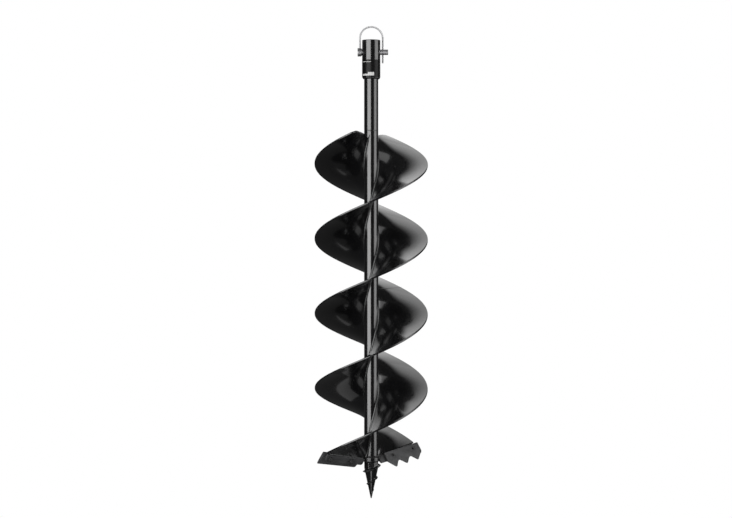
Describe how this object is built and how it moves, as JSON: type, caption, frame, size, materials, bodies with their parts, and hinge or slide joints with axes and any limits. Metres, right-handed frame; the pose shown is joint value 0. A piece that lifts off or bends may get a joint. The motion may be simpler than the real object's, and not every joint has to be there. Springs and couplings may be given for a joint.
{
  "type": "soil auger",
  "caption": "Double-flight earth auger bit with a pinned drive socket, tubular shaft, bolted serrated and plain cutting blades and a threaded screw point.",
  "frame": {"origin": "centre of the drive socket's mouth, on the auger's axis", "axes": "+Z along the auger's axis towards the machine, so the bit hangs along -Z; +X along the lock pin, towards its free end; +Y completes a right-handed frame"},
  "size_m": [0.2, 0.2, 0.8345],
  "materials": {
    "black_paint": "gloss black enamel",
    "blade_paint": "semi-matt dark grey",
    "pin_steel": "turned steel",
    "zinc_wire": "bright zinc-plated wire",
    "dark_steel": "black-oxide steel"
  },
  "bodies": {
    "auger": {"drive_socket": "black_paint", "shaft_tube": "black_paint", "flight_a_upper": "black_paint", "flight_a_lower": "black_paint", "flight_b_upper": "black_paint", "flight_b_lower": "black_paint", "tip_collar": "black_paint", "pilot_bush": "dark_steel", "pilot_screw": "black_paint", "blade_holder_a": "blade_paint", "blade_holder_b": "blade_paint", "serrated_blade": "blade_paint", "plain_blade": "blade_paint", "blade_screw_a_inner": "dark_steel", "blade_screw_a_outer": "dark_steel", "blade_screw_b_inner": "dark_steel", "blade_screw_b_outer": "dark_steel", "blade_nut_a_inner": "dark_steel", "blade_nut_a_outer": "dark_steel", "blade_nut_b_inner": "dark_steel", "blade_nut_b_outer": "dark_steel"},
    "pin": {"lock_pin": "pin_steel"},
    "bail": {"pin_bail": "zinc_wire"}
  },
  "joints": [
    {"name": "pin_slide", "type": "slide", "parent": "auger", "child": "pin", "axis": [-1, 0, 0], "range_m": [0, 0.046]},
    {"name": "bail_swing", "type": "hinge", "parent": "pin", "child": "bail", "pos_m": [-0.0198, 0, -0.0213], "axis": [0, 0, 1], "range_deg": [0, 180]}
  ],
  "couplings": [
    {"joint": "bail_swing", "follows": "pin_slide", "rad_per_m": 68.2}
  ]
}
